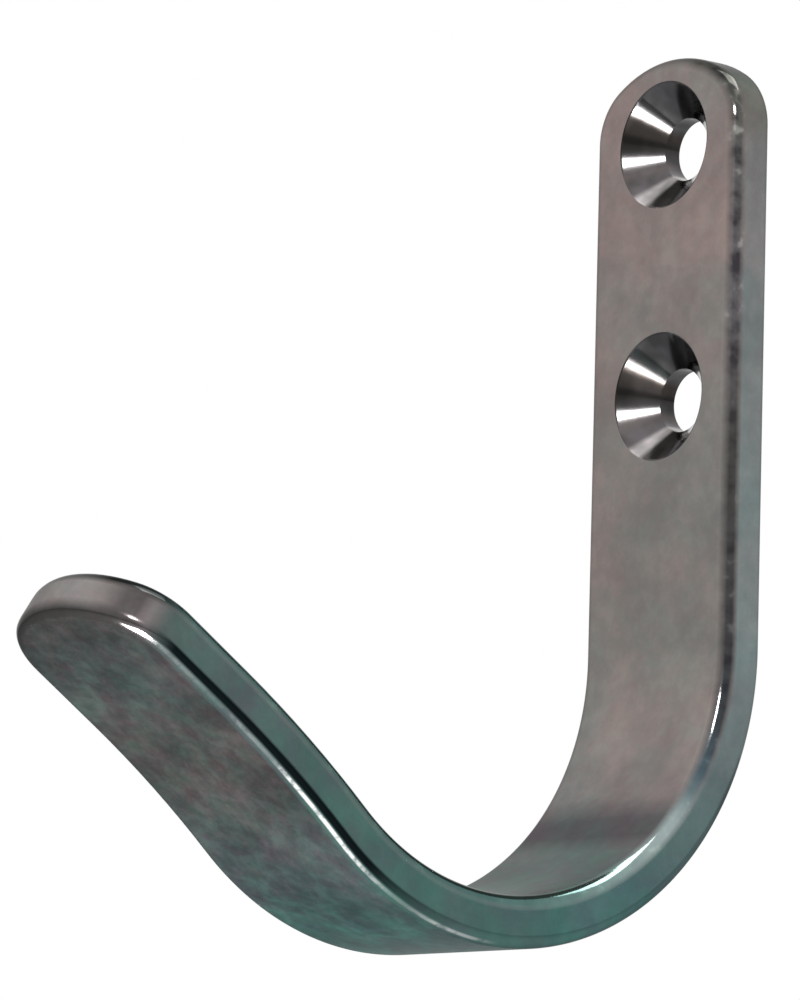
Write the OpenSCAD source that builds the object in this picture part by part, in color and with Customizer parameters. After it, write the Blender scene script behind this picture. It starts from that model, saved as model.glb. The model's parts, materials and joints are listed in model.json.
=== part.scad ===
// Single coat hook, bent from one flat bar with rounded edges.
// The back of the plate lies on the plane y = 0 and the arm reaches out along -Y. Z points up.
// The origin lies on the back of the plate, halfway between the two screw holes.
//
// The bar is one closed skin. A station is a place along the bar, and each station carries a
// ring of points round the bar's section. Neighbouring rings are joined by flat four-sided faces.

/* [Bar] */
// Width of the bar, along X
bar_w = 16.5; // [13:0.5:21]
// Thickness of the bar
bar_t = 4; // [3:0.1:6]
// Radius of the edges round the face that the plate shows to the room
front_edge_r = 1.2; // [0.4:0.1:1.6]
// Radius of the edges round the face that lies on the wall
back_edge_r = 1; // [0.2:0.1:1.3]

/* [Rounded ends] */
// Radius of the two shoulders at the plate's top and at the arm's tip
shoulder_r = 5.1; // [2:0.1:5.5]
// Radius of the flatter crown between the two shoulders
crown_r = 11; // [10.6:0.1:20]

/* [Plate] */
// Height of the plate's crown above the upper screw
top_margin = 7; // [6.5:0.5:14]
// Height of the lower screw above the start of the bend
lower_margin = 20; // [8:0.5:40]

/* [Screw holes] */
// Distance between the two screws
screw_spacing = 20; // [14:0.5:40]
// Clearance hole for the screw's shank
shank_d = 5; // [3:0.1:6]
// Diameter of the countersink at the front face
head_d = 10; // [7.5:0.1:11]
// Full angle of the countersink
countersink_angle = 90; // [82:1:100]

/* [Hook] */
// Inner radius of the bend, where the loop of the coat hangs
throat_r = 20.5; // [8:0.5:30]
// Angle that the bend turns through, from the plate to the arm
bend_angle = 132.5; // [95:0.5:160]
// Radius of the arm's slight outward sweep, on its outer face
sweep_r = 93; // [30:1:200]
// Angle that the sweep turns back by
sweep_angle = 8.5; // [1:0.5:30]
// Straight length of the arm, from the sweep to the tip's crown
tip_l = 12.4; // [10:0.1:30]

/* [Hidden] */

// Fineness of the curves
edge_steps = 5;
shoulder_steps = 8;
crown_steps = 5;
bend_steps = ceil(bend_angle / 3);
sweep_steps = ceil(sweep_angle / 2);
hole_fn = 96;

// An end is an arch of three arcs: a shoulder on each side, and a crown tangent to both.
half_w = bar_w / 2;
shoulder_x = half_w - shoulder_r;
crown_drop = sqrt(pow(crown_r - shoulder_r, 2) - pow(shoulder_x, 2));
crown_rise = crown_r - crown_drop;
shoulder_angle = atan2(crown_drop, shoulder_x);

// The arch at the plate's top springs at shoulder_z. The bend starts at bend_z.
shoulder_z = screw_spacing / 2 + top_margin - crown_rise;
bend_z = -(screw_spacing / 2 + lower_margin);
bend_centre = [-(bar_t + throat_r), bend_z];

// The crown's steps straddle the middle of the bar, so the last one stops half a step short of it.
crown_step = (90 - shoulder_angle) / (crown_steps + 0.5);

// A hole is cut a little past both faces of the bar, so that its rims are clean.
cut_over = 1;
sink_slope = tan(countersink_angle / 2);
sink_depth = (head_d - shank_d) / 2 / sink_slope;

// Half of the section's edge, as [inset from the side, depth from the back face].
back_rounding = [
    for (i = [0:edge_steps])
        let (a = 90 * i / edge_steps)
            [back_edge_r * (1 - sin(a)), back_edge_r * (1 - cos(a))]
];
front_rounding = [
    for (i = [0:edge_steps])
        let (a = 90 * i / edge_steps)
            [front_edge_r * (1 - cos(a)), bar_t - front_edge_r * (1 - sin(a))]
];
half_edge = concat(back_rounding, front_rounding);
levels = len(half_edge);
ring_points = 2 * levels;

// Directions in the YZ plane: the way the bar runs, and the way its front face looks.
function running(heading) = [cos(heading), sin(heading)];
function facing(heading) = [sin(heading), -cos(heading)];

// Outline of an arch, inset from the bar's side: [half width, rise above the shoulders' centres].
function shoulder_point(a, inset) =
    [shoulder_x + (shoulder_r - inset) * cos(a), (shoulder_r - inset) * sin(a)];
function crown_point(a, inset) =
    [(crown_r - inset) * cos(a), (crown_r - inset) * sin(a) - crown_drop];

arch_angles = concat(
    [for (i = [0:shoulder_steps]) shoulder_angle * i / shoulder_steps],
    [for (i = [1:crown_steps]) shoulder_angle + crown_step * i]
);
function arch_point(a, inset) = a > shoulder_angle ? crown_point(a, inset) : shoulder_point(a, inset);

// A station is [origin on the back face, heading, angle on the arch, way that the arch rises].
// Between the two arches the angle is 0, where an arch springs from the bar's straight side.
function ring_half(station, side) =
    let (
        origin = station[0],
        heading = station[1],
        arch_angle = station[2],
        arch_way = station[3]
    )
        [
            for (edge = half_edge)
                let (
                    outline = arch_point(arch_angle, edge[0]),
                    along = running(heading) * outline[1] * arch_way,
                    place = origin + along + facing(heading) * edge[1]
                )
                    [side * outline[0], place[0], place[1]]
        ];
function reversed(list) = [for (i = [len(list) - 1:-1:0]) list[i]];
function ring(station) = concat(ring_half(station, 1), reversed(ring_half(station, -1)));

// Stations along the bar, from the plate's crown to the arm's crown.
down = -90;
top_stations = [for (a = reversed(arch_angles)) [[0, shoulder_z], down, a, -1]];
bend_stations = [
    for (i = [0:bend_steps])
        let (heading = down - bend_angle * i / bend_steps)
            [bend_centre - facing(heading) * (bar_t + throat_r), heading, 0, 1]
];
arm_root = bend_stations[bend_steps];
sweep_centre = arm_root[0] - facing(arm_root[1]) * sweep_r;
sweep_stations = [
    for (i = [1:sweep_steps])
        let (heading = arm_root[1] + sweep_angle * i / sweep_steps)
            [sweep_centre + facing(heading) * sweep_r, heading, 0, 1]
];
sweep_end = sweep_stations[sweep_steps - 1];
tip_origin = sweep_end[0] + running(sweep_end[1]) * (tip_l - crown_rise);
tip_stations = [for (a = arch_angles) [tip_origin, sweep_end[1], a, 1]];
stations = concat(top_stations, bend_stations, sweep_stations, tip_stations);

// Faces between neighbouring rings, and across the middle of each crown.
skin = [
    for (i = [0:len(stations) - 2], j = [0:ring_points - 1])
        let (
            near = i * ring_points,
            far = near + ring_points,
            next = (j + 1) % ring_points
        )
            [near + j, near + next, far + next, far + j]
];
function crown_face(first, j) =
    [first + j, first + ring_points - 1 - j, first + ring_points - 2 - j, first + j + 1];
last_ring = (len(stations) - 1) * ring_points;
top_cap = [for (j = [0:levels - 2]) crown_face(0, j)];
tip_cap = [for (j = [0:levels - 2]) reversed(crown_face(last_ring, j))];

module bar() {
    polyhedron(
        points = [for (station = stations) each ring(station)],
        faces = concat(skin, top_cap, tip_cap)
    );
}

// Shank hole and countersink for one screw, opening at the front face.
module screw_hole() {
    rotate([90, 0, 0]) {
        translate([0, 0, -cut_over])
            cylinder(h = bar_t + 2 * cut_over, d = shank_d, $fn = hole_fn);
        translate([0, 0, bar_t - sink_depth])
            cylinder(
                h = sink_depth + cut_over,
                d1 = shank_d,
                d2 = head_d + 2 * cut_over * sink_slope,
                $fn = hole_fn
            );
    }
}

module hook() {
    color([0.5, 0.49, 0.47])
        difference() {
            bar();
            for (z = [-1, 1] * screw_spacing / 2)
                translate([0, 0, z])
                    screw_hole();
        }
}

hook();
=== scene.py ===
import json
from math import acos, asin, atan2, cos, pi, radians, sin, sqrt, tan

import bpy
from mathutils import Matrix, Vector


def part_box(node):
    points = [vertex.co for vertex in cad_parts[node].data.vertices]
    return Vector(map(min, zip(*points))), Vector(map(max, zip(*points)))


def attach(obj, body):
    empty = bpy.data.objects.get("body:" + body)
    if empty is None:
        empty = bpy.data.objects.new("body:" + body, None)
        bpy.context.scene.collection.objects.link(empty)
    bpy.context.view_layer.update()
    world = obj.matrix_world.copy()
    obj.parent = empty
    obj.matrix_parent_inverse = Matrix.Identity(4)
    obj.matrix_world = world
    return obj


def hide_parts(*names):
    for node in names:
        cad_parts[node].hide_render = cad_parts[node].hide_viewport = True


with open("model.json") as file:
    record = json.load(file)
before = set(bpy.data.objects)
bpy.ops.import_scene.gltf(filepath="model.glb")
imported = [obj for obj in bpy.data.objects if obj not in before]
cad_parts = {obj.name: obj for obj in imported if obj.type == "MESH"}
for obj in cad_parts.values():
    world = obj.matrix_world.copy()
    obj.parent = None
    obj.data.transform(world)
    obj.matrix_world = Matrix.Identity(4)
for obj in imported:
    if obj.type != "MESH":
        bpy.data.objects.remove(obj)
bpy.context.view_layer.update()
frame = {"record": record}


# ---- Blank --------------------------------------------------------------------------
# The hook starts as a length of flat steel bar with a round end at the top and at the tip.
# It is drawn as a sheet that lies where the bar's back face lies: flat on the wall,
# round the bend, out along the arm's slight sweep, and straight to the tip.

# Sizes are in metres, as in the frame.
low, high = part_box("hook")
bar_w = high.x - low.x
bar_t = 0.004
shoulder_r = 0.0051
crown_r = 0.011
bend_z = -0.030
throat_r = 0.0205
bend_angle = radians(132.5)
sweep_r = 0.093
sweep_angle = radians(8.5)
tip_l = 0.0124

shoulder_steps = 12
crown_steps = 16
bend_steps = 88
sweep_steps = 8
same_place = 1e-6
seam_angle = radians(0.01)

half_w = bar_w / 2
shoulder_x = half_w - shoulder_r
crown_drop = sqrt((crown_r - shoulder_r) ** 2 - shoulder_x ** 2)
crown_rise = crown_r - crown_drop
shoulder_angle = atan2(crown_drop, shoulder_x)
shoulder_z = high.z - crown_rise

bend_centre = Vector((0, -(bar_t + throat_r), bend_z))
across = Vector((1, 0, 0))


def turned(vector, angle):
    """The vector, turned about X by the angle."""
    return Matrix.Rotation(angle, 3, "X") @ vector


def pick(piece, test):
    """Opens the piece for editing with only the points that pass the test selected."""
    bpy.ops.object.mode_set(mode="OBJECT")
    for part in (*piece.data.polygons, *piece.data.edges):
        part.select = False
    for point in piece.data.vertices:
        point.select = test(point)
    bpy.ops.object.mode_set(mode="EDIT")
    bpy.ops.mesh.select_mode(type="VERT")


def near(place):
    """A test for the point that lies at the place."""
    return lambda point: (point.co - place).length < same_place


def round_end(piece, middle, rise):
    """Gives the sheet an arch of three arcs, sprung from the straight edge at middle."""
    axis = rise.cross(across)
    crown_centre = middle - rise * crown_drop
    arcs = (
        (middle + across * shoulder_x, shoulder_angle, shoulder_steps),
        (crown_centre, pi - 2 * shoulder_angle, crown_steps),
        (middle - across * shoulder_x, shoulder_angle, shoulder_steps),
    )
    pick(piece, near(middle + across * half_w))
    for centre, angle, steps in arcs:
        bpy.ops.mesh.spin(steps=steps, angle=angle, center=centre, axis=axis)
    pick(piece, lambda point: (point.co - middle).dot(rise) > -same_place)
    bpy.ops.mesh.remove_doubles(threshold=same_place)
    bpy.ops.mesh.edge_face_add()


bpy.ops.object.select_all(action="DESELECT")
bpy.ops.mesh.primitive_plane_add(size=bar_w, rotation=(pi / 2, 0, 0))
hook = bpy.context.object
hook.name = "hook_steel"
bpy.ops.object.transform_apply(location=True, rotation=True, scale=True)
pick(hook, lambda point: point.co.z > 0)
bpy.ops.transform.translate(value=(0, 0, shoulder_z - half_w))
pick(hook, lambda point: point.co.z < 0)
bpy.ops.transform.translate(value=(0, 0, bend_z + half_w))
round_end(hook, Vector((0, 0, shoulder_z)), Vector((0, 0, 1)))

# The bend, the sweep and the straight to the tip, each drawn from the last edge. A "face"
# here is the way that the bar's back looks at that place.
root_face = turned(Vector((0, 1, 0)), -bend_angle)
arm_root = bend_centre + root_face * (bar_t + throat_r)
sweep_centre = arm_root + root_face * sweep_r
end_face = turned(root_face, sweep_angle)
arm_end = sweep_centre - end_face * sweep_r
arm_run = end_face.cross(across)
tip_middle = arm_end + arm_run * (tip_l - crown_rise)

pick(hook, lambda point: abs(point.co.z - bend_z) < same_place)
bpy.ops.mesh.spin(steps=bend_steps, angle=bend_angle, center=bend_centre, axis=across)
bpy.ops.mesh.spin(steps=sweep_steps, angle=-sweep_angle, center=sweep_centre, axis=across)
bpy.ops.mesh.extrude_region_move(TRANSFORM_OT_translate={"value": tip_middle - arm_end})
round_end(hook, tip_middle, arm_run)

# The seam between each arch and the straight beside it goes, so that each end is one face.
pick(hook, lambda point: True)
bpy.ops.mesh.normals_make_consistent(inside=False)
pick(
    hook,
    lambda point: abs(point.co.y) < same_place or (point.co - arm_end).dot(arm_run) > -same_place,
)
bpy.ops.mesh.dissolve_limited(angle_limit=seam_angle)


# ---- Bar ----------------------------------------------------------------------------
# The sheet is thickened towards the room to the bar's full 4 mm.
# The edges were rounded by rolling: a little more on the side that faces the room.

front_edge_r = 0.0012
back_edge_r = 0.001
edge_steps = 12
round_profile = 0.5
in_group = 0.5


def round_edge(piece, radius):
    """Rounds the edge all round the faces that are selected."""
    bpy.ops.mesh.region_to_loop()
    bpy.ops.mesh.bevel(offset=radius, segments=edge_steps, profile=round_profile, affect="EDGES")


bpy.ops.object.mode_set(mode="OBJECT")
back_points = len(hook.data.vertices)
front = hook.vertex_groups.new(name="front")
thicken = hook.modifiers.new("thicken", "SOLIDIFY")
thicken.thickness = bar_t
thicken.offset = -1
thicken.use_even_offset = True
thicken.shell_vertex_group = front.name
bpy.ops.object.modifier_apply(modifier=thicken.name)
pick(hook, lambda point: point.index < back_points)
round_edge(hook, back_edge_r)
pick(hook, lambda point: any(group.weight > in_group for group in point.groups))
round_edge(hook, front_edge_r)
bpy.ops.object.mode_set(mode="OBJECT")


# ---- Screw holes --------------------------------------------------------------------
# Two 5 mm holes, drilled through the plate and countersunk from the front for 10 mm heads.
# The countersink's outer rim is eased by the plating.

screw_pattern = next(m for m in frame["record"]["mounts"] if m["name"] == "screw_holes")
screw_spacing = screw_pattern["dims"]["spacing_y_mm"] / 1000
shank_r = screw_pattern["dims"]["hole_r_mm"] / 1000
head_r = 0.005
sink_angle = radians(90)
drill_over = 0.001
rim_r = 0.00012
rim_steps = 3
rim_near = 2e-5
hole_sides = 128
smooth_angle = radians(30)
flat_face_weight = 100

sink_slope = tan(sink_angle / 2)
sink_depth = (head_r - shank_r) / sink_slope
front_y = -bar_t
sink_y = front_y + sink_depth

for side in (1, -1):
    drill_middle = Vector((0, (drill_over + sink_y) / 2, side * screw_spacing / 2))
    bpy.ops.object.select_all(action="DESELECT")
    bpy.ops.mesh.primitive_cylinder_add(
        vertices=hole_sides,
        radius=shank_r,
        depth=drill_over - sink_y,
        location=drill_middle,
        rotation=(pi / 2, 0, 0),
    )
    drill = bpy.context.object
    bpy.ops.object.transform_apply(location=True, rotation=True, scale=True)
    pick(drill, lambda point: point.co.y < sink_y + same_place)
    cone_l = sink_depth + drill_over
    bpy.ops.mesh.extrude_region_move(TRANSFORM_OT_translate={"value": (0, -cone_l, 0)})
    bpy.ops.transform.resize(value=(1 + cone_l * sink_slope / shank_r,) * 3)
    bpy.ops.object.mode_set(mode="OBJECT")
    cut = hook.modifiers.new("screw_hole", "BOOLEAN")
    cut.operation = "DIFFERENCE"
    cut.solver = "EXACT"
    cut.object = drill
    bpy.context.view_layer.objects.active = hook
    bpy.ops.object.modifier_apply(modifier=cut.name)
    bpy.data.objects.remove(drill)

bpy.context.view_layer.objects.active = hook
for side in (1, -1):
    centre = Vector((0, front_y, side * screw_spacing / 2))
    pick(
        hook,
        lambda point: abs((point.co - centre).length - head_r) < rim_near
        and abs(point.co.y - front_y) < same_place,
    )
    bpy.ops.mesh.bevel(offset=rim_r, segments=rim_steps, profile=round_profile, affect="EDGES")
bpy.ops.object.mode_set(mode="OBJECT")

bpy.ops.object.select_all(action="DESELECT")
hook.select_set(True)
bpy.ops.object.shade_smooth_by_angle(angle=smooth_angle)
even = hook.modifiers.new("even", "WEIGHTED_NORMAL")
even.keep_sharp = True
even.weight = flat_face_weight
bpy.ops.object.modifier_apply(modifier=even.name)

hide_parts("hook")
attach(hook, "root")


# ---- Surface ------------------------------------------------------------------------
# The steel is plated: satin on its faces and smoother on its rounded edges. The plating is a
# warm grey down the plate. The green in the bend, the teal on the sides and the dark and pale
# marks on the edges are painted reflections, highlights and shade. A map that runs round the
# bar's section and along its length lets them follow the bend.

bend_l = (bar_t + throat_r) * bend_angle
sweep_l = sweep_r * sweep_angle
plate_l = high.z - bend_z
bar_l = plate_l + bend_l + sweep_l + tip_l


def bar_place(point):
    """How far along the bar's back a point lies, and how deep in front of it."""
    from_bend = point - bend_centre
    turn = atan2(-from_bend.z, from_bend.y)
    from_sweep = point - sweep_centre
    sweep_turn = atan2(from_sweep.cross(-root_face).x, from_sweep.dot(-root_face))
    if point.z >= bend_z and point.y > bend_centre.y:
        return high.z - point.z, -point.y
    if 0 <= turn <= bend_angle:
        return plate_l + (bar_t + throat_r) * turn, bar_t + throat_r - from_bend.yz.length
    if abs(sweep_turn) <= sweep_angle:
        return plate_l + bend_l + sweep_r * abs(sweep_turn), from_sweep.yz.length - sweep_r
    past = (point - arm_end).dot(arm_run)
    return plate_l + bend_l + sweep_l + past, (arm_end - point).dot(end_face)


def girth(depth):
    """0 on the front face, 1 to 2 across the side, 3 on the back face, and the edges between."""
    if depth > bar_t - front_edge_r:
        return acos(min((depth - bar_t + front_edge_r) / front_edge_r, 1)) / (pi / 2)
    if depth < back_edge_r:
        return 2 + asin(min((back_edge_r - depth) / back_edge_r, 1)) / (pi / 2)
    return 1 + (bar_t - front_edge_r - depth) / (bar_t - front_edge_r - back_edge_r)


bar_map = hook.data.uv_layers.new(name="bar")
for corner in hook.data.loops:
    along, depth = bar_place(hook.data.vertices[corner.vertex_index].co)
    bar_map.data[corner.index].uv = (girth(depth) / 3, along / bar_l)


def node(tree, kind, settings=None, **wires):
    """Adds a node, sets its properties, and gives each input a value or another node's output."""
    new = tree.nodes.new(kind)
    for name, value in (settings or {}).items():
        setattr(new, name, value)
    for name, value in wires.items():
        socket = new.inputs[name.replace("_", " ")]
        if isinstance(value, bpy.types.NodeSocket):
            tree.links.new(value, socket)
        else:
            socket.default_value = value
    return new


def noise(tree, place, scale, detail, **more):
    """A noise texture of the given scale over the place."""
    return node(tree, "ShaderNodeTexNoise", Vector=place, Scale=scale, Detail=detail, **more)


def ramp(tree, factor, *stops):
    """A colour ramp over the factor. Each stop is its place and a grey level or a colour."""
    new = node(tree, "ShaderNodeValToRGB", Fac=factor)
    points = new.color_ramp.elements
    while len(points) < len(stops):
        points.new(1)
    for point, (place, tone) in zip(points, stops):
        point.position = place
        point.color = (*tone, 1) if isinstance(tone, tuple) else (tone, tone, tone, 1)
    return new.outputs["Color"]


def blended(tree, factor, under, over, way="MIX"):
    """Mixes two colours by the factor."""
    new = tree.nodes.new("ShaderNodeMix")
    new.data_type = "RGBA"
    new.blend_type = way
    factor_input, under_input, over_input = new.inputs[0], new.inputs[6], new.inputs[7]
    for socket, value in ((factor_input, factor), (under_input, under), (over_input, over)):
        if isinstance(value, bpy.types.NodeSocket):
            tree.links.new(value, socket)
        else:
            socket.default_value = (*value, 1) if isinstance(value, tuple) else value
    return new.outputs[2]


def tinted(tree, tone, tint):
    """The tone, multiplied by the tint."""
    return blended(tree, 1.0, tone, tint, "MULTIPLY")


def band(tree, factor, rise, full, fade, end):
    """A mask over the factor that rises to 1, stays there and falls again."""
    return ramp(tree, factor, (rise, 0.0), (full, 1.0), (fade, 1.0), (end, 0.0))


def product(tree, first, second):
    """The first times the second, which is a mask or a plain number."""
    new = node(tree, "ShaderNodeMath", {"operation": "MULTIPLY"})
    tree.links.new(first, new.inputs[0])
    if isinstance(second, float):
        new.inputs[1].default_value = second
    else:
        tree.links.new(second, new.inputs[1])
    return new.outputs["Value"]


steel = bpy.data.materials.new("plated_steel")
steel.use_nodes = True
tree = steel.node_tree
shader = tree.nodes["Principled BSDF"]
shader.inputs["Metallic"].default_value = 1
shader.inputs["Specular Tint"].default_value = (0.5, 0.5, 0.5, 1)
place = node(tree, "ShaderNodeTexCoord").outputs["Object"]
bar_uv = node(tree, "ShaderNodeUVMap", {"uv_map": "bar"}).outputs["UV"]
split = node(tree, "ShaderNodeSeparateXYZ", Vector=bar_uv)
round_bar, along_bar = split.outputs["X"], split.outputs["Y"]
width = node(tree, "ShaderNodeSeparateXYZ", Vector=place).outputs["X"]
across_bar = node(
    tree, "ShaderNodeMapRange", Value=width, From_Min=-half_w, From_Max=half_w
).outputs["Result"]

# Blotches, clouds and specks in the plating, and the satin grain that runs along the bar.
blotch_scale = 190.0
cloud_scale = 90.0
speck_scale = 700.0
grain_across, grain_along, grain_round = 3200.0, 60.0, 30.0

blotch = noise(tree, place, blotch_scale, 4.0, Roughness=0.6).outputs["Fac"]
cloud = noise(tree, place, cloud_scale, 2.0).outputs["Color"]
cloud = node(tree, "ShaderNodeSeparateColor", Color=cloud)
run = node(tree, "ShaderNodeCombineXYZ", X=width, Y=along_bar, Z=round_bar).outputs["Vector"]
run = node(
    tree, "ShaderNodeMapping", Vector=run, Scale=(grain_across, grain_along, grain_round)
).outputs["Vector"]
grain = noise(tree, run, 1.0, 3.0, Roughness=0.6).outputs["Fac"]
speck = noise(tree, place, speck_scale, 3.0, Roughness=0.7).outputs["Color"]
speck = node(tree, "ShaderNodeSeparateColor", Color=speck)

# The tone of each side of the bar, with painted reflections, highlights and shade in it. Each stop
# is a place and a colour: along the bar from the plate's top (0) to the tip (1), or across it
# from the left edge (0) to the right edge (1).
# Front: the plate's warm grey is the plating. The light band, the dark band and the green in the bend
# are painted reflections.
front_tone_and_reflection = ramp(
    tree, along_bar,
    (0.00, (0.240, 0.208, 0.199)), (0.12, (0.235, 0.204, 0.194)), (0.28, (0.205, 0.188, 0.180)),
    (0.36, (0.207, 0.190, 0.181)), (0.43, (0.242, 0.224, 0.214)), (0.475, (0.215, 0.202, 0.198)),
    (0.497, (0.107, 0.109, 0.115)), (0.515, (0.100, 0.103, 0.109)), (0.535, (0.165, 0.192, 0.186)),
    (0.66, (0.165, 0.215, 0.206)), (0.80, (0.160, 0.170, 0.165)), (0.90, (0.20, 0.198, 0.192)),
)
# Sides: grey down the plate, then a painted teal reflection round the bend and along the arm.
side_tone_and_reflection = ramp(
    tree, along_bar,
    (0.03, (0.150, 0.155, 0.150)), (0.08, (0.186, 0.196, 0.199)), (0.20, (0.184, 0.198, 0.200)),
    (0.34, (0.196, 0.232, 0.232)), (0.41, (0.150, 0.190, 0.196)), (0.48, (0.105, 0.165, 0.168)),
    (0.56, (0.076, 0.148, 0.146)), (0.66, (0.074, 0.150, 0.143)), (0.80, (0.074, 0.142, 0.130)),
    (0.90, (0.086, 0.130, 0.132)), (0.95, (0.090, 0.125, 0.122)),
)
# Back: grey at the plate. The teal in the bend and the darker grey of the arm and tip are painted
# reflections.
back_tone_and_reflection = ramp(
    tree, along_bar,
    (0.00, (0.20, 0.19, 0.185)), (0.40, (0.17, 0.18, 0.175)), (0.58, (0.062, 0.140, 0.134)),
    (0.72, (0.064, 0.142, 0.138)), (0.77, (0.092, 0.118, 0.124)), (0.86, (0.092, 0.101, 0.098)),
    (0.94, (0.092, 0.102, 0.103)), (0.965, (0.072, 0.084, 0.085)), (1.00, (0.064, 0.068, 0.067)),
)
# Top of the plate's rim: painted shade, grey on the left and dark green on the right.
crown_shade = ramp(
    tree, across_bar,
    (0.45, (0.230, 0.200, 0.193)), (0.62, (0.190, 0.185, 0.170)), (0.75, (0.110, 0.112, 0.100)),
    (0.90, (0.150, 0.155, 0.140)),
)
# Tip's rim: a painted light patch in the middle, painted shade towards each side and a painted
# highlight near the right edge.
tip_light_and_shade = ramp(
    tree, across_bar,
    (0.06, (0.090, 0.092, 0.091)), (0.22, (0.115, 0.116, 0.115)), (0.32, (0.195, 0.192, 0.190)),
    (0.45, (0.250, 0.246, 0.243)), (0.70, (0.285, 0.278, 0.275)), (0.78, (0.190, 0.183, 0.182)),
    (0.86, (0.085, 0.083, 0.083)), (0.92, (0.062, 0.060, 0.061)), (0.955, (0.160, 0.150, 0.155)),
    (0.975, (0.130, 0.130, 0.130)), (0.99, (0.070, 0.095, 0.092)),
)
# The tip rim's lower part: painted shade, with a faint painted highlight near the right edge.
tip_low_shade = ramp(
    tree, across_bar,
    (0.02, (0.072, 0.078, 0.078)), (0.40, (0.060, 0.064, 0.062)), (0.74, (0.068, 0.069, 0.068)),
    (0.90, (0.072, 0.070, 0.071)), (0.95, (0.115, 0.108, 0.112)), (0.98, (0.070, 0.082, 0.082)),
)
# Tip's front edge: painted shade, grey on the left and near black on the right.
tip_edge_shade = ramp(
    tree, across_bar,
    (0.02, (0.120, 0.120, 0.118)), (0.20, (0.150, 0.147, 0.146)), (0.55, (0.150, 0.145, 0.143)),
    (0.66, (0.090, 0.088, 0.086)), (0.76, (0.016, 0.017, 0.017)), (0.96, (0.020, 0.025, 0.025)),
)

# Masks that put each tone on its own part of the bar.
on_side = ramp(tree, round_bar, (0.27, 0.0), (0.34, 1.0))
on_back = ramp(tree, round_bar, (0.93, 0.0), (0.99, 1.0))
on_crown = ramp(tree, along_bar, (0.035, 1.0), (0.06, 0.0))
on_tip = ramp(tree, along_bar, (0.955, 0.0), (0.972, 1.0))
tip_low = ramp(tree, round_bar, (0.62, 0.0), (0.80, 1.0))
side_tone_and_reflection = blended(tree, on_crown, side_tone_and_reflection, crown_shade)
side_tone_and_reflection = blended(tree, on_tip, side_tone_and_reflection, blended(tree, tip_low, tip_light_and_shade, tip_low_shade))
tone = blended(tree, on_side, front_tone_and_reflection, side_tone_and_reflection)
tone = blended(tree, on_back, tone, back_tone_and_reflection)

# The back keeps the plating's full blotches. The faces that are seen most are evener.
face_speck = 0.3
even_blotch = ramp(tree, blotch, (0.36, (0.90, 0.91, 0.92)), (0.64, (1.12, 1.11, 1.10)))
deep_blotch = ramp(
    tree, blotch,
    (0.34, (0.78, 0.80, 0.80)), (0.50, (1.0, 1.0, 1.0)), (0.66, (1.32, 1.28, 1.26)),
)
speck_light = ramp(
    tree, speck.outputs["Red"],
    (0.36, (0.84, 0.84, 0.84)), (0.50, (1.0, 1.0, 1.0)), (0.62, (1.20, 1.20, 1.20)),
)
speck_tint = ramp(
    tree, speck.outputs["Green"],
    (0.38, (1.10, 0.96, 0.98)), (0.50, (1.0, 1.0, 1.0)), (0.62, (0.93, 1.04, 1.01)),
)
speck_tint = tinted(tree, speck_light, speck_tint)
deep_blotch = tinted(tree, deep_blotch, speck_tint)
even_blotch = blended(tree, face_speck, even_blotch, speck_tint, "MULTIPLY")
tone = tinted(tree, tone, blended(tree, on_back, even_blotch, deep_blotch))
cloud_tint = ramp(
    tree, cloud.outputs["Green"], (0.42, (1.05, 0.975, 0.965)), (0.58, (0.96, 1.015, 1.0))
)
tone = tinted(tree, tone, cloud_tint)

# From the middle of the bend to the tip the tone turns pinker or greener in random patches.
patch_scale = 380.0
patch = noise(tree, place, patch_scale, 2.0).outputs["Fac"]
patch = ramp(tree, patch, (0.38, (1.09, 0.98, 1.03)), (0.62, (0.90, 1.03, 0.98)))
green = band(tree, along_bar, 0.44, 0.56, 0.95, 0.97)
tone = blended(tree, green, tone, tinted(tree, tone, patch))

# The rounded edge in front carries painted shade down the plate, with painted glints in it, and a
# painted highlight round the bend.
glint_scale = 760.0
edge_shade_and_highlight = ramp(
    tree, along_bar,
    (0.02, (0.060, 0.062, 0.056)), (0.05, (0.100, 0.100, 0.096)), (0.16, (0.100, 0.093, 0.100)),
    (0.24, (0.064, 0.061, 0.058)), (0.36, (0.050, 0.050, 0.053)), (0.42, (0.048, 0.055, 0.060)),
    (0.455, (0.075, 0.110, 0.130)), (0.475, (0.150, 0.200, 0.210)), (0.495, (0.330, 0.400, 0.395)),
    (0.52, (0.310, 0.380, 0.370)), (0.56, (0.250, 0.345, 0.325)), (0.60, (0.145, 0.235, 0.220)),
    (0.64, (0.100, 0.190, 0.175)), (0.70, (0.080, 0.150, 0.140)), (0.78, (0.075, 0.140, 0.130)),
)
# The edge on the left keeps a quarter of this painted shade and highlight, and the edge on the right
# all of it.
painted_edge_side = ramp(tree, across_bar, (0.50, 0.25), (0.80, 1.0))
# Painted glints: small bright spots, and a few darker ones, in the edge's painted shade down the
# plate.
glint_spots = noise(tree, place, glint_scale, 2.0).outputs["Fac"]
glint_band = ramp(tree, along_bar, (0.03, 1.0), (0.17, 1.0), (0.24, 0.7), (0.40, 0.7), (0.46, 0.2))
glint_tone = ramp(
    tree, glint_spots,
    (0.34, (0.45, 0.43, 0.48)), (0.50, (0.95, 0.95, 0.95)), (0.62, (1.2, 1.2, 1.2)),
    (0.74, (3.0, 3.0, 2.9)),
)
edge_shade_and_highlight = blended(tree, glint_band, edge_shade_and_highlight, tinted(tree, edge_shade_and_highlight, glint_tone))
edge_shade_and_highlight = blended(tree, on_tip, edge_shade_and_highlight, tip_edge_shade)
painted_edge_side = blended(tree, on_tip, painted_edge_side, (1.0, 1.0, 1.0))
front_edge = product(tree, band(tree, round_bar, 0.04, 0.17, 0.25, 0.345), painted_edge_side)
tone = blended(tree, front_edge, tone, edge_shade_and_highlight)

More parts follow.
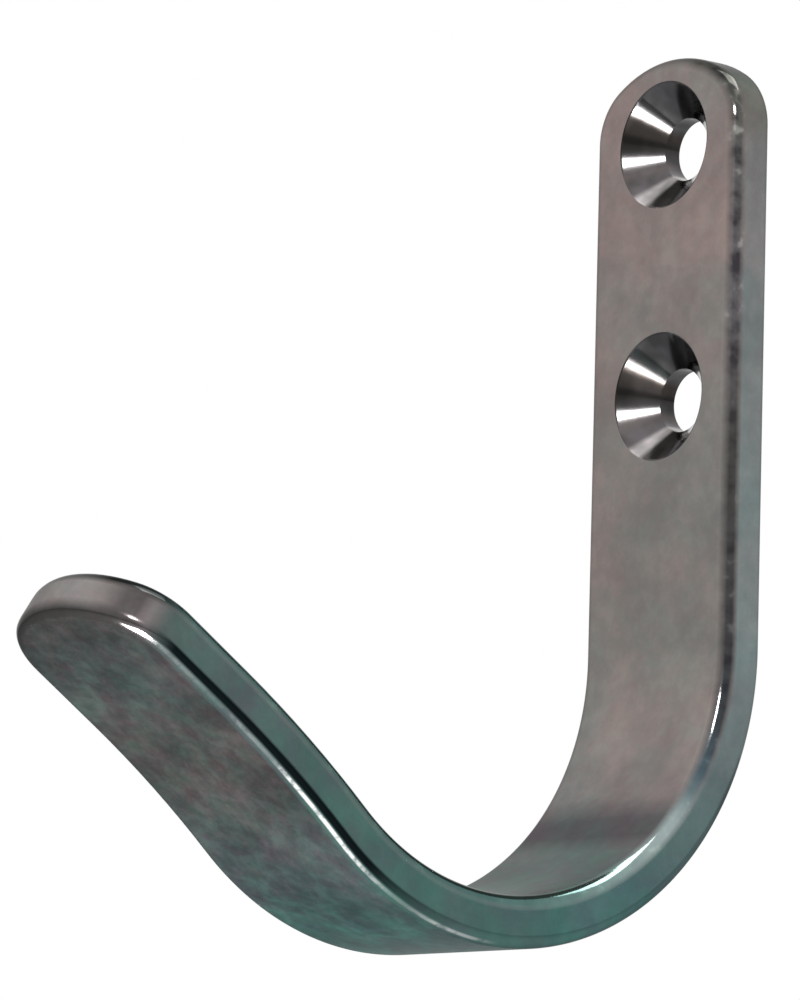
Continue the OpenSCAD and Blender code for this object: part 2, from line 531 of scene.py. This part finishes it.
# The rounded edge at the back of the arm has a painted shadow beside the side and a painted highlight
# below it.
shadow_colour = (0.006, 0.010, 0.011)
highlight_colour = (0.90, 0.91, 0.90)
on_arm = band(tree, along_bar, 0.69, 0.775, 0.955, 0.97)
shadow_line = product(tree, band(tree, round_bar, 0.655, 0.70, 0.79, 0.825), on_arm)
tone = blended(tree, shadow_line, tone, shadow_colour)
# How bright the painted highlight on the back edge is along the bar, with a short one at the tip.
highlight_along = ramp(
    tree, along_bar,
    (0.67, 0.0), (0.69, 0.30), (0.715, 0.38), (0.73, 0.20), (0.74, 0.10), (0.755, 0.15),
    (0.772, 0.5), (0.785, 0.85), (0.80, 1.0), (0.848, 0.9), (0.862, 0.10), (0.89, 0.16),
    (0.91, 0.03), (0.945, 0.10), (0.962, 0.06), (0.967, 1.0), (0.972, 1.0), (0.977, 0.0),
)
# Specks break the painted highlight up.
highlight_breakup = ramp(tree, speck.outputs["Red"], (0.36, 0.25), (0.50, 1.0))
highlight_line = product(tree, band(tree, round_bar, 0.815, 0.84, 0.875, 0.90), highlight_along)
highlight_line = product(tree, highlight_line, highlight_breakup)
highlight_line = product(tree, highlight_line, ramp(tree, across_bar, (0.60, 0.0), (0.90, 1.0)))
tone = blended(tree, highlight_line, tone, highlight_colour)
tree.links.new(tone, shader.inputs["Base Color"])

# How rough each side is, and how deep the blotches and the grain are.
face_roughness = 0.30
front_edge_roughness = 0.11
back_edge_roughness = 0.16
back_roughness = 0.34
grain_depth = 0.00003
grain_strength = 0.05
blotch_depth = 0.0002
blotch_strength = 0.25

gloss = ramp(
    tree, round_bar,
    (0.03, face_roughness), (0.08, front_edge_roughness), (0.29, front_edge_roughness),
    (0.35, face_roughness), (0.66, face_roughness), (0.75, back_edge_roughness),
    (0.93, back_edge_roughness), (0.99, back_roughness),
)
gloss = tinted(tree, gloss, ramp(tree, blotch, (0.36, 0.92), (0.64, 1.08)))
tree.links.new(gloss, shader.inputs["Roughness"])
bump = node(
    tree, "ShaderNodeBump", Height=grain, Strength=grain_strength, Distance=grain_depth
).outputs["Normal"]
bump = node(
    tree, "ShaderNodeBump",
    Height=blotch, Strength=blotch_strength, Distance=blotch_depth, Normal=bump,
).outputs["Normal"]
tree.links.new(bump, shader.inputs["Normal"])

# The countersinks carry a painted reflection: dark all round, with a painted highlight streak. Their
# tone changes with the turn round each hole's axis.
sink_roughness = 0.15
turning_scale = 420.0

hole_steel = bpy.data.materials.new("countersink_steel")
hole_steel.use_nodes = True
tree = hole_steel.node_tree
shader = tree.nodes["Principled BSDF"]
shader.inputs["Metallic"].default_value = 1
shader.inputs["Roughness"].default_value = sink_roughness
place = node(tree, "ShaderNodeTexCoord").outputs["Object"]
turning = noise(tree, place, turning_scale, 2.0).outputs["Fac"]
split = node(tree, "ShaderNodeSeparateXYZ", Vector=place)
from_middle = node(tree, "ShaderNodeMath", {"operation": "ABSOLUTE"})
tree.links.new(split.outputs["Z"], from_middle.inputs[0])
from_axis = node(tree, "ShaderNodeMath", {"operation": "SUBTRACT"})
tree.links.new(from_middle.outputs["Value"], from_axis.inputs[0])
from_axis.inputs[1].default_value = screw_spacing / 2
upper = node(tree, "ShaderNodeMath", {"operation": "SIGN"})
tree.links.new(split.outputs["Z"], upper.inputs[0])
height = product(tree, from_axis.outputs["Value"], upper.outputs["Value"])
turn = node(tree, "ShaderNodeMath", {"operation": "ARCTAN2"})
tree.links.new(product(tree, height, -1.0), turn.inputs[0])
tree.links.new(product(tree, split.outputs["X"], -1.0), turn.inputs[1])
turn = node(
    tree, "ShaderNodeMapRange", Value=turn.outputs["Value"], From_Min=-pi, From_Max=pi
).outputs["Result"]
# The painted reflection round each countersink: dark, with a lighter sector and a painted highlight
# streak from 0.65 to 0.68.
tone = ramp(
    tree, turn,
    (0.05, (0.046, 0.046, 0.046)), (0.25, (0.062, 0.062, 0.066)), (0.33, (0.060, 0.060, 0.060)),
    (0.36, (0.080, 0.080, 0.080)), (0.41, (0.048, 0.042, 0.038)), (0.48, (0.038, 0.035, 0.034)),
    (0.53, (0.055, 0.055, 0.055)), (0.57, (0.100, 0.090, 0.086)), (0.63, (0.110, 0.104, 0.108)),
    (0.65, (0.360, 0.340, 0.335)), (0.68, (0.360, 0.340, 0.335)), (0.70, (0.100, 0.094, 0.088)),
    (0.75, (0.080, 0.076, 0.068)), (0.82, (0.052, 0.052, 0.052)), (0.95, (0.042, 0.042, 0.042)),
)
# Less metal in the painted highlight streak, so that it shows pale from every side.
streak_matt = ramp(
    tree, turn,
    (0.55, 1.0), (0.57, 0.85), (0.62, 0.85), (0.65, 0.25), (0.68, 0.25), (0.70, 0.85), (0.78, 1.0),
)
tree.links.new(streak_matt, shader.inputs["Metallic"])
mark = ramp(tree, turning, (0.38, (0.72, 0.72, 0.72)), (0.62, (1.28, 1.25, 1.28)))
tree.links.new(tinted(tree, tone, mark), shader.inputs["Base Color"])

hook.data.materials.clear()
hook.data.materials.append(steel)
hook.data.materials.append(hole_steel)
face_near = 1e-5
flat_normal = 0.95
for face in hook.data.polygons:
    from_hole = min(
        Vector((face.center.x, 0, face.center.z - side * screw_spacing / 2)).length
        for side in (1, -1)
    )
    in_plate = -bar_t + face_near < face.center.y < -face_near
    if from_hole < head_r + face_near and in_plate and abs(face.normal.y) < flat_normal:
        face.material_index = 1


# ---- Studio -------------------------------------------------------------------------
# A pale paper floor lies under the hook, and a white surround stands behind it.
# Soft lamps light it: a large one above, one beside it, and a small one low in front.

floor_z = -0.16
floor_w = 12
paper_tone = 0.85
paper_roughness = 0.8
bpy.ops.object.select_all(action="DESELECT")
bpy.ops.mesh.primitive_plane_add(size=floor_w, location=(0, 0, floor_z))
floor = bpy.context.object
floor.name = "floor"
paper = bpy.data.materials.new("paper")
paper.use_nodes = True
shader = paper.node_tree.nodes["Principled BSDF"]
shader.inputs["Base Color"].default_value = (paper_tone, paper_tone, paper_tone, 1)
shader.inputs["Roughness"].default_value = paper_roughness
floor.data.materials.append(paper)

# The surround is full white where it is looked at or mirrored, and lights the hook by half.
seen_level = 1
light_level = 0.5
world = bpy.data.worlds.new("surround")
bpy.context.scene.world = world
world.use_nodes = True
tree = world.node_tree
path = node(tree, "ShaderNodeLightPath")
seen = node(tree, "ShaderNodeMath", {"operation": "MAXIMUM"})
tree.links.new(path.outputs["Is Camera Ray"], seen.inputs[0])
tree.links.new(path.outputs["Is Glossy Ray"], seen.inputs[1])
seen_too = node(tree, "ShaderNodeMath", {"operation": "MAXIMUM"})
tree.links.new(seen.outputs["Value"], seen_too.inputs[0])
tree.links.new(path.outputs["Is Transmission Ray"], seen_too.inputs[1])
level = node(
    tree, "ShaderNodeMapRange", Value=seen_too.outputs["Value"], To_Min=light_level, To_Max=seen_level
)
tree.links.new(level.outputs["Result"], tree.nodes["Background"].inputs["Strength"])
tree.nodes["Background"].inputs["Color"].default_value = (1, 1, 1, 1)


def aimed(place, aim, roll=0):
    """The turn that points a lamp or a camera at the aim from its place."""
    facing = (place - aim).to_track_quat("Z", "Y").to_matrix()
    return (facing @ Matrix.Rotation(roll, 3, "Z")).to_euler()


hook_middle = (low + high) / 2
# Each lamp: the way to it from the hook, its distance, its size and its radiance.
lamps = {
    "overhead": (Vector((0.1, 0.2, 0.93)), 0.9, 0.5, 4),
    "window": (Vector((0.565, -0.69, 0.455)), 0.7, 0.13, 60),
    "low_front": (Vector((0.135, -0.64, -0.757)), 0.19, 0.095, 60),
}
for name, (way, reach, size, radiance) in lamps.items():
    lamp = bpy.data.objects.new(name, bpy.data.lights.new(name, "AREA"))
    lamp.data.size = size
    lamp.data.energy = radiance * pi * size ** 2
    lamp.location = hook_middle + way.normalized() * reach
    lamp.rotation_euler = aimed(lamp.location, hook_middle)
    lamp.visible_camera = False
    bpy.context.scene.collection.objects.link(lamp)

# The camera looks from the right and a little below, through a long lens.
lens_mm = 260
sensor_mm = 36
aim = Vector((0.0002, -0.02993, -0.02108))
azimuth = radians(50.432)
elevation = radians(-8.079)
roll = radians(1.589)
distance = 0.43217
toward = Vector((sin(azimuth) * cos(elevation), -cos(azimuth) * cos(elevation), sin(elevation)))
camera = bpy.data.objects.new("camera", bpy.data.cameras.new("camera"))
camera.data.sensor_fit = "HORIZONTAL"
camera.data.sensor_width = sensor_mm
camera.data.lens = lens_mm
camera.location = aim + toward * distance
camera.rotation_euler = aimed(camera.location, aim, roll)
bpy.context.scene.collection.objects.link(camera)
bpy.context.scene.camera = camera
bpy.context.scene.view_settings.view_transform = "Standard"
